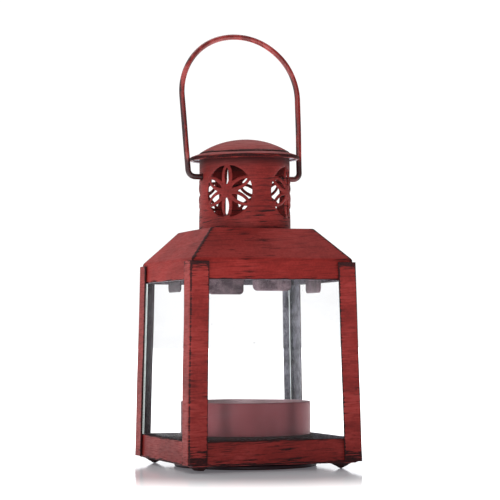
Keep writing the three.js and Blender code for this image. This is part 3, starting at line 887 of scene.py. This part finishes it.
def pane(wall):
    """A flat sheet of glass whose half width follows the leaning corner posts, edges ground."""
    angle = WALLS[wall][0]
    inset = PANE_THICKNESS + GAP if wall in ("left", "right") else 0
    height = np.linspace(PANE_FOOT_Z, PANE_TOP_Z, 9)
    height[1], height[-2] = PANE_FOOT_Z + 0.15, PANE_TOP_Z - 0.15
    shrink = np.zeros_like(height)
    shrink[[0, -1]] = 0.12
    centres = np.stack([0 * height, -(pane_inner(height) + PANE_THICKNESS / 2), height], 1)
    across = np.tile([1.0, 0, 0], (len(height), 1))
    through = np.tile([0, 1.0, 0], (len(height), 1))
    widths = pane_outer(height) - inset - shrink
    depths = PANE_THICKNESS / 2 - shrink
    section = rounded_box_section(0.012, 0.42, 2)
    points, faces = swept(centres, across, through, section, widths, depths)
    look = np.array([-math.sin(angle), math.cos(angle), 0])

    def ground(centre, normal):
        """Clear on the flat faces, a pale glowing copy of the edge on the bevels that face the
        light as a painted highlight, dull elsewhere.
        """
        flatness = np.abs(normal @ look)
        lit = (flatness > 0.3) & (normal[:, 0] < 0.1)
        return np.where(flatness > 0.9, 0, np.where(lit, 2, 1))

    build(
        f"pane_{wall}", (about_z(points, angle), faces), "lantern", "window_glass",
        [clear_glass, edge_glass, glint_glass], ground, crease=30,
    )


# ---- chimney ----


def oval(s, start, end, half, fullness):
    """Half width of a pointed oval between start and end: half times a parabola of height 1
    raised to the power fullness; beyond the ends it falls below 0."""
    q = (s - start) / (end - start)
    arch = 4 * q * (1 - q)
    return half * np.where(arch > 0, np.maximum(arch, 0) ** fullness, arch)


def petal_frame(u, v):
    """For each petal, the distance along it and the distance away from its middle line."""
    angles = math.pi / 2 + np.arange(PETALS) * 2 * math.pi / PETALS
    c, s = np.cos(angles)[:, None], np.sin(angles)[:, None]
    return u * c + v * s, np.abs(v * c - u * s)


def petal_depth(u, v):
    """How far a point is inside the nearest petal's outline; less than 0 outside."""
    along, away = petal_frame(u, v)
    half = oval(along, 0, PETAL_END, PETAL_HALF, 0.6)
    half = np.where((along > 4) & (along < 9), np.maximum(half, BRIDGE_HALF), half)
    return (half - away).max(0)


def wrapped(angle):
    """The same angle between minus and plus half a turn."""
    return (angle + math.pi) % (2 * math.pi) - math.pi


def openness(azimuth, z):
    """Above 0 inside an opening of the chimney: the slots in the petals, the gaps between the
    petals out to the rosette's rim, the two pivot holes and the rear seam, which gapes."""
    radius = (CHIMNEY_FOOT_RADIUS + CHIMNEY_TOP_RADIUS) / 2
    turn = wrapped(azimuth[None] - ROSETTE_AZIMUTHS[:, None])
    nearest = np.abs(turn).argmin(0)
    u = turn[nearest, np.arange(len(azimuth))] * radius
    v = z - ROSETTE_Z
    along, away = petal_frame(u, v)
    slots = (oval(along, SLOT_START, SLOT_END, SLOT_HALF, 0.8) - away).max(0)
    gaps = np.minimum(ROSETTE_RADIUS - 0.1 - np.hypot(u, v), -petal_depth(u, v))
    side = np.abs((azimuth + math.pi / 2) % math.pi - math.pi / 2) * radius
    pivots = PIVOT_HOLE_RADIUS - np.hypot(side, z - PIVOT_Z)
    spread = np.clip((SEAM_TOP_Z - z) * SEAM_FLARE, -1, SEAM_HALF)
    seam = np.minimum(spread - np.abs(wrapped(azimuth - SEAM_AZIMUTH)) * radius, z - SEAM_FOOT_Z)
    openings = np.maximum(np.maximum(slots, gaps), np.maximum(pivots, seam))
    return openings, u, v


def cut_out(points, faces, value):
    """Cuts triangles along the line where value crosses 0 and keeps the side below 0. A new
    point divides its edge as the values at the ends do, but stays off the ends by 8 percent."""
    inside = value > 0

    def crossing(a, b):
        first, second = np.minimum(a, b), np.maximum(a, b)
        share = np.clip(value[first] / (value[first] - value[second]), 0.08, 0.92)[:, None]
        return points[first] * (1 - share) + points[second] * share

    def led_by(odd_one_is_inside):
        count = 1 if odd_one_is_inside else 2
        rows = faces[inside[faces].sum(1) == count]
        start = (inside[rows] == odd_one_is_inside).argmax(1)
        return np.take_along_axis(rows, (start[:, None] + np.arange(3)) % 3, 1).T

    a, b, c = led_by(True)
    d, e, f = led_by(False)
    extra = [crossing(a, b), crossing(a, c), crossing(d, e), crossing(d, f)]
    starts = len(points) + np.cumsum([0] + [len(part) for part in extra])
    ab, ac, de, df = (starts[k] + np.arange(len(extra[k])) for k in range(4))
    parts = [faces[~inside[faces].any(1)]]
    parts += [np.stack(corners, 1) for corners in ((ab, b, c), (ab, c, ac), (d, de, df))]
    points, faces = np.concatenate([points, *extra]), np.concatenate(parts)
    used, renumbered = np.unique(faces, return_inverse=True)
    return points[used], renumbered.reshape(faces.shape)


def chimney():
    """A tapered sleeve as a fine grid of azimuth and height that starts clear of any opening.
    The openings are cut out of the grid, then the sheet is bent round and embossed."""
    columns, rows = 372, 101
    turn = GRID_START + np.linspace(0, 2 * math.pi, columns + 1)
    height = np.linspace(CHIMNEY_FOOT_Z, CHIMNEY_TOP_Z, rows)
    azimuth, z = (grid.ravel() for grid in np.meshgrid(turn, height))
    corner = quads(rows, columns + 1, False, False)
    faces = np.concatenate([corner[:, [0, 1, 2]], corner[:, [0, 2, 3]]])
    flat, faces = cut_out(np.stack([azimuth, z], 1), faces, openness(azimuth, z)[0])
    azimuth, z = flat.T
    value, u, v = openness(azimuth, z)
    share = (z - CHIMNEY_FOOT_Z) / (CHIMNEY_TOP_Z - CHIMNEY_FOOT_Z)
    wall = CHIMNEY_FOOT_RADIUS + (CHIMNEY_TOP_RADIUS - CHIMNEY_FOOT_RADIUS) * share
    rho = np.hypot(u, v)
    raised = 0.2 * (1 - np.exp(-np.clip(petal_depth(u, v), 0, 3) / 0.4))
    raised *= np.clip(1.25 - (rho / (ROSETTE_RADIUS - 0.6)) ** 3, 0, 1)
    raised += 0.2 * np.exp(-((rho / 2.2) ** 2))
    pressed = 0.16 * near(rho - ROSETTE_RADIUS, 0.6)
    soft = 0.09 * np.exp(-np.clip(-value, 0, 3) / 0.12)
    wall = wall + raised - pressed - soft
    points = np.stack([wall * np.cos(azimuth), wall * np.sin(azimuth), z], 1)
    points = uneven(points, 30, 0.12, 9)
    foot = near(z - ROOF_TOP_Z, 0.7)
    rim = 0.5 * near(value, 0.18) * (np.abs(rho - ROSETTE_RADIUS) < 1)
    # painted shade under the lid's brim: the red darkens towards the brim, over a flat darkening
    # of 0.12 all over
    below = np.maximum(BRIM_EDGE_Z - BRIM_BEAD - z, 0)
    soot = 0.12 + 0.8 * np.exp(-((below / 2.7) ** 2))
    shade = np.sin(azimuth + math.radians(70)) * 0.5 + 0.5
    calm = np.clip(0.9 * (1 - shade) * (z > 80) + 0.75 * (below < 5), 0, 0.85)
    piece = build(
        "chimney", (points, faces), "lantern", "lantern_paint", [chimney_paint, inner_paint],
        wear=np.maximum(0.75 * foot, rim), soot=soot, calm=calm,
    )
    outward = np.empty(len(piece.data.polygons) * 3)
    centres = np.empty_like(outward)
    piece.data.polygons.foreach_get("normal", outward)
    piece.data.polygons.foreach_get("center", centres)
    if (outward * centres).reshape(-1, 3)[:, :2].sum() < 0:
        piece.data.flip_normals()
    thick = piece.modifiers.new("wall", "SOLIDIFY")
    thick.thickness = SHEET * MM
    thick.offset = -1
    thick.use_even_offset = False
    thick.material_offset = 1
    thick.material_offset_rim = 0


# ---- lid ----


def dome_arc(inside, steps):
    """Points of the dome's section from the axis to its foot, for a surface this far inside."""
    rise = LID_TOP_Z - DOME_FOOT_Z
    sphere = (DOME_RADIUS**2 + rise**2) / (2 * rise)
    angle = np.linspace(0, math.asin(DOME_RADIUS / sphere), steps)
    reach = sphere - inside
    return np.stack([reach * np.sin(angle), LID_TOP_Z - sphere + reach * np.cos(angle)], 1)


def lid():
    """A shallow dome, a sloping brim and a rolled edge, turned, then set slightly askew."""
    top = dome_arc(0, 30)
    under = dome_arc(SHEET, 30)[::-1]
    edge = filleted(
        [
            [DOME_RADIUS + 0.15, DOME_FOOT_Z - 0.25], [BRIM_RADIUS - 0.35, BRIM_EDGE_Z + 0.15],
            [BRIM_RADIUS, BRIM_EDGE_Z - 0.15], [BRIM_RADIUS, BRIM_EDGE_Z - BRIM_BEAD],
            [BRIM_RADIUS - 0.85, BRIM_EDGE_Z - BRIM_BEAD],
            [BRIM_RADIUS - 0.85, BRIM_EDGE_Z - 0.35],
            [DOME_RADIUS - 0.1, DOME_FOOT_Z - 0.25 - SHEET],
        ],
        [0.3, 0.5, 0.4, 0.36, 0.36, 0.3, 0.2],
    )
    profile = resampled(np.concatenate([top, edge, under]), 0.5)
    points, faces = turned(profile, 160)
    points = uneven(points, 24, 0.1, 11)
    x, y, z = points.T
    r = np.hypot(x, y)
    crease = near(r - DOME_RADIUS - 0.1, 0.7) * (z > BRIM_EDGE_Z - 0.2)
    wear = np.maximum(1.1 * crease, 0.8 * near(r - BRIM_RADIUS, 0.35))
    about = np.array([0, 0, BRIM_EDGE_Z])
    askew = Matrix.Rotation(-LID_TILT, 3, "Y") @ Matrix.Rotation(LID_TILT, 3, "X")
    points = (points - about) @ np.array(askew).T + about

    def bare(centre, normal):
        r = np.hypot(centre[:, 0], centre[:, 1])
        return ((normal[:, 2] < -0.2) & (r < BRIM_RADIUS - 0.6)).astype(int)

    build(
        "lid", (points, faces), "lantern", "lantern_paint", [lid_paint, zinc], bare,
        wear=wear, soot=0.14,
    )


# ---- bail ----


def bail():
    """A round wire along a smooth route: out of one pivot, round a bend, up the leg, over the
    arch and down again, all leaning back about the pivots."""
    bend_x = BAIL_LEG_X - BAIL_BEND_RADIUS
    foot = np.linspace(BAIL_END_X, bend_x, 8)
    bend = np.linspace(-math.pi / 2, 0, 12)[1:]
    leg = np.linspace(0, 1, 26)[1:]
    arch = np.linspace(0, math.pi / 2, 40)[1:]
    stretches = [
        (foot, 0 * foot),
        (
            bend_x + BAIL_BEND_RADIUS * np.cos(bend),
            BAIL_BEND_RADIUS + BAIL_BEND_RADIUS * np.sin(bend),
        ),
        (
            BAIL_LEG_X + (BAIL_ARCH_RADIUS - BAIL_LEG_X) * leg,
            BAIL_BEND_RADIUS + (BAIL_ARCH_CENTRE - BAIL_BEND_RADIUS) * leg,
        ),
        (BAIL_ARCH_RADIUS * np.cos(arch), BAIL_ARCH_CENTRE + BAIL_ARCH_RADIUS * np.sin(arch)),
    ]
    right = np.concatenate([np.stack(stretch, 1) for stretch in stretches])
    route = np.concatenate([right, right[:-1][::-1] * [-1, 1]])
    heading = unit(np.gradient(route, axis=0))
    centres = np.stack([route[:, 0], 0 * route[:, 0], route[:, 1]], 1)
    across = np.stack([heading[:, 1], 0 * heading[:, 0], -heading[:, 0]], 1)
    through = np.tile([0, 1.0, 0], (len(route), 1))
    thick = np.full(len(route), WIRE_RADIUS)
    thick[[0, -1]] = WIRE_RADIUS * 0.75
    points, faces = swept(centres, across, through, circle_section(WIRE_STEPS), thick, thick)
    points = uneven(points, 18, 0.12, 21)

    x, _, z = points.T
    middles = np.concatenate([centres[:1], centres, centres[-1:]])
    side = (x - np.repeat(middles[:, 0], WIRE_STEPS)) * np.sign(x)
    # painted shade: the wire darkens towards both of its sides in x, where a lit round wire turns
    # from the light, and darkens low down on the left leg; the black near the pivots and the slow
    # ripple are wash
    wear = 0.24 + 0.42 * (side / WIRE_RADIUS) ** 2 + 0.3 * near(z, 5)
    wear = wear + 0.22 * (x < 0) * near(z, 22) + 0.1 * np.sin(z * 0.5 + x * 0.3)
    lean = np.array(Matrix.Rotation(-BAIL_LEAN, 3, "X"))
    points = points @ lean.T + np.array([0, 0, PIVOT_Z])
    build("bail", (points, faces), "bail", "bail_paint", [bail_paint], wear=wear)


# ---- candle holder and tealight ----


def candle_cup():
    """A straight-walled cup, turned."""
    inner = CUP_RADIUS - CUP_WALL
    inside_z = CUP_FLOOR_Z + CUP_WALL
    points, faces = lathed(
        [
            [0, CUP_FLOOR_Z], [CUP_RADIUS, CUP_FLOOR_Z], [CUP_RADIUS, CUP_RIM_Z],
            [inner, CUP_RIM_Z], [inner, inside_z], [0, inside_z],
        ],
        [0, 0.7, 0.19, 0.19, 0.5, 0], 0.9, 144,
    )

    # the inside takes the pale copy of the cup's finish, as painted light
    def lit_inside(centre, normal):
        r = np.hypot(centre[:, 0], centre[:, 1])
        return (r < inner + 0.15) & (centre[:, 2] > inside_z - 0.15)

    build(
        "candle_cup", (uneven(points, 22, 0.07, 31), faces), "candle_holder", "cup_metal",
        [cup_satin, cup_lit_lining], lit_inside,
    )


def cup_dish():
    """A flat disc with a thick curled lip that hangs below it, turned."""
    under = DISH_TOP_Z - SHEET
    points, faces = lathed(
        [
            [0, under], [DISH_RADIUS - 1.3, under], [DISH_RADIUS - 1.0, DISH_LIP_Z],
            [DISH_RADIUS, DISH_LIP_Z], [DISH_RADIUS, DISH_TOP_Z], [0, DISH_TOP_Z],
        ],
        [0, 0.4, 0.3, 0.4, 0.5, 0], 0.9, 144,
    )
    points = uneven(points, 16, 0.1, 41)
    # painted shade and highlight: the lip is darkened to overspray up to 17 mm along x and stays
    # bright zinc beyond, where it catches light
    lit_from_x = 17

    def painted(centre, normal):
        r = np.hypot(centre[:, 0], centre[:, 1])
        return ((normal[:, 2] < -0.3) | (r < DISH_RADIUS - 0.8)).astype(int)

    build(
        "cup_dish", (points, faces), "candle_holder", "dish_metal", [dish_zinc, underside_shade_paint],
        painted, wear=0.75, stain=(lit_from_x - points[:, 0]) / 4,
    )


def tealight_shell():
    """A foil cup, turned, with shallow upright flutes."""
    inner = TEALIGHT_RADIUS - TEALIGHT_WALL
    inside_z = TEALIGHT_FOOT_Z + TEALIGHT_WALL

    def flutes(radius, height, angle):
        """Cosine waves round the wall, faded out at its foot and rim."""
        outside = np.clip((radius - TEALIGHT_RADIUS + 0.8) / 0.4, 0, 1)
        low = np.clip((TEALIGHT_TOP_Z - 0.9 - height) / 1.2, 0, 1)
        high = np.clip(height - TEALIGHT_FOOT_Z - 0.7, 0, 1)
        return -FLUTE_DEPTH * outside * low * high * (1 - np.cos(FLUTES * angle)) / 2

    surface = lathed(
        [
            [0, TEALIGHT_FOOT_Z], [TEALIGHT_RADIUS, TEALIGHT_FOOT_Z],
            [TEALIGHT_RADIUS, TEALIGHT_TOP_Z], [inner, TEALIGHT_TOP_Z], [inner, inside_z],
            [0, inside_z],
        ],
        [0, 0.8, 0.14, 0.14, 0.5, 0], 0.7, 384, flutes,
    )
    build("tealight_shell", surface, "tealight", "tealight_metal", [foil])


def candle_wax():
    """A disc of wax, turned, whose top sinks towards the wick and climbs at the wall."""
    bore = WICK_RADIUS + GAP
    rim = TEALIGHT_RADIUS - TEALIGHT_WALL - GAP
    climb = np.linspace(0, 1, 24)
    top = WAX_TOP_Z - 0.35 + 0.35 * climb**8 - 0.25 * (1 - climb) ** 6
    recess = WAX_FOOT_Z + SUSTAINER_HEIGHT + GAP
    recess_radius = SUSTAINER_RADIUS + GAP
    below = filleted(
        [
            [rim, WAX_TOP_Z - 0.3], [rim, WAX_FOOT_Z], [recess_radius, WAX_FOOT_Z],
            [recess_radius, recess], [bore, recess],
        ],
        [0, 0.7, 0.1, 0.1, 0],
    )
    outline = np.concatenate([np.stack([bore + (rim - bore) * climb, top], 1), below])
    points, faces = turned(resampled(outline, 0.9), 120)
    r = np.hypot(points[:, 0], points[:, 1])
    high = points[:, 2] > WAX_TOP_Z - 1.2
    angle = np.arctan2(points[:, 1], points[:, 0])
    points[:, 2] += high * 0.06 * np.sin(3 * angle + 1) * np.sin(r / 3)
    build("candle_wax", (points, faces), "tealight", "candle_wax", [paraffin])


def wick_sustainer():
    """A foil disc that rises to a low neck, turned."""
    top = WAX_FOOT_Z + SUSTAINER_HEIGHT
    surface = lathed(
        [
            [0, WAX_FOOT_Z], [SUSTAINER_RADIUS, WAX_FOOT_Z],
            [SUSTAINER_RADIUS, WAX_FOOT_Z + 0.2], [1.5, top], [0, top],
        ],
        [0, 0.09, 0.09, 0.3, 0], 0.5, 72,
    )
    build("wick_sustainer", surface, "tealight", "tealight_metal", [foil])


def wick():
    """Three strands as one section with three lobes, twisted up a line that bends over."""
    height = np.linspace(WAX_FOOT_Z + SUSTAINER_HEIGHT + GAP, WICK_TOP_Z, 90)
    free = np.clip(height - WAX_TOP_Z, 0, None)
    centres = np.stack([0.03 * free**2, 0.015 * free**2, height], 1)
    angle = np.linspace(0, 2 * math.pi, 24, endpoint=False)[None]
    twist = height[:, None] * 1.7
    lobes = WICK_RADIUS * (0.86 + 0.14 * np.abs(np.cos(1.5 * (angle - twist))))
    thin = np.clip((WICK_TOP_Z - height) / 0.25, 0.3, 1)[:, None]
    flat = np.stack([lobes * thin * np.cos(angle), lobes * thin * np.sin(angle), 0 * lobes], -1)
    surface = closed_rings(centres, flat)
    build("wick", surface, "tealight", "wick_cotton", [thread])


# ---- the object ----

base_pan()
for node in POSTS:
    post(node)
roof()
for wall in WALLS:
    pane_clip(wall)
    pane(wall)
chimney()
lid()
bail()
candle_cup()
cup_dish()
tealight_shell()
candle_wax()
wick_sustainer()
wick()


# ---- floor, light and camera ----


def studio_floor():
    """A glossy floor whose glow grows with the distance from the object: close by it is dark, a
    painted shadow pool in which it mirrors the object, and further off it glows white. From below
    it is clear."""
    f = paint("studio_floor")
    cloud = f.noise(3, EVEN, 2, 0.5)
    away = f.add("ShaderNodeVectorMath", {"operation": "LENGTH"}, {0: f.place}, "Value")
    # painted shadow: the glow stays low within about 5 cm of the object and rises to white by
    # about 11 cm
    lit = away.step(0.05, 0.106) * 0.9 + away.step(0.1, 0.3) * 0.1
    shader = f.coat(
        Base_Color=f.blend(cloud, (0.92, 0.925, 0.94, 1), (0.95, 0.955, 0.965, 1)),
        Roughness=0.09,
        Specular_IOR_Level=0.5,
        Emission_Color=f.blend(lit, (0.1, 0.1, 0.11, 1), (1.05, 1.05, 1.05, 1)),
        Emission_Strength=1.0,
    )
    under = f.add("ShaderNodeNewGeometry", out="Backfacing")
    nothing = f.add("ShaderNodeBsdfTransparent")
    mesh = bpy.data.meshes.new("floor")
    a, b = -6.0, 6.0
    mesh.from_pydata([(a, a, 0), (b, a, 0), (b, b, 0), (a, b, 0)], [], [(0, 1, 2, 3)])
    mesh.materials.append(f.surface(f.mixed(under, shader, nothing)))
    floor = bpy.data.objects.new("floor", mesh)
    bpy.context.scene.collection.objects.link(floor)


def set_up(name, data, place, side, up, back):
    """Puts a lamp or a camera at a place, its own axes along the three directions."""
    thing = bpy.data.objects.new(name, data)
    turn = Matrix(np.stack([side, up, back], 1).tolist()).to_4x4()
    thing.matrix_world = Matrix.Translation(place.tolist()) @ turn
    bpy.context.scene.collection.objects.link(thing)
    return thing


def softbox(name, place, width, height, power):
    """A rectangular lamp at a place, its lit side turned to the object's foot."""
    lamp = bpy.data.lights.new(name, "AREA")
    lamp.shape = "RECTANGLE"
    lamp.size, lamp.size_y = width, height
    lamp.energy = power
    place, aim = np.array(place), np.array([0, 0, 0.05])
    back = unit(place - aim)
    side = unit(np.cross([0, 0, 1.0], back))
    set_up(name, lamp, place, side, np.cross(back, side), back)


def studio_world(seen, dim, bright, towards, behind):
    """White where it is looked at. As a light it goes from dim to bright towards one direction,
    with a white sheet standing in the direction behind."""
    f = Finish(bpy.data.worlds.new("studio"), "Generated")

    def facing(direction):
        """The cosine of the angle to a direction."""
        sockets = {0: f.place, 1: unit(np.array(direction)).tolist()}
        return f.add("ShaderNodeVectorMath", {"operation": "DOT_PRODUCT"}, sockets, "Value")

    rise = facing(towards).step(-0.75, 0.85)
    sheet = facing(behind).step(0.93, 0.97)
    strength = dim + (bright - dim) * rise + sheet * 0.9
    backdrop = f.add("ShaderNodeBackground", {}, {"Color": (1, 1, 1, 1), "Strength": seen})
    fill = f.add("ShaderNodeBackground", {}, {"Color": (0.97, 0.98, 1, 1), "Strength": strength})
    looked_at = f.add("ShaderNodeLightPath", out="Is Camera Ray")
    shader = f.mixed(looked_at, fill, backdrop)
    bpy.context.scene.world = f.surface(shader, "ShaderNodeOutputWorld")


def camera(place, ahead, roll, lens):
    """Stands a little above the cup's rim and looks slightly up, rolled by a fifth of a degree."""
    ahead = unit(np.array(ahead))
    side = unit(np.cross(ahead, [0, 0, 1.0]))
    up = np.cross(side, ahead)
    c, s = math.cos(roll), math.sin(roll)
    data = bpy.data.cameras.new("camera")
    data.sensor_width, data.lens = 36, lens
    data.clip_start, data.clip_end = 0.01, 100
    bpy.context.scene.camera = set_up(
        "camera", data, np.array(place), c * side + s * up, c * up - s * side, -ahead
    )


studio_floor()
studio_world(
    seen=1.08, dim=0.08, bright=0.42, towards=(-0.5, 0.75, 0.45), behind=(0.34, 0.94, 0.05)
)
softbox("overhead", (0.0, 0.35, 0.95), width=1.3, height=1.0, power=7.2)
softbox("left_side", (-0.95, -0.1, 0.35), width=0.7, height=0.9, power=1.5)
softbox("front_fill", (-0.45, -1.15, 0.45), width=0.9, height=0.7, power=2.8)
camera(
    place=(-0.194274, -0.541346, 0.039990), ahead=(0.34006, 0.93918, 0.04788),
    roll=-0.0039, lens=131.55,
)
bpy.context.scene.view_settings.view_transform = "Standard"
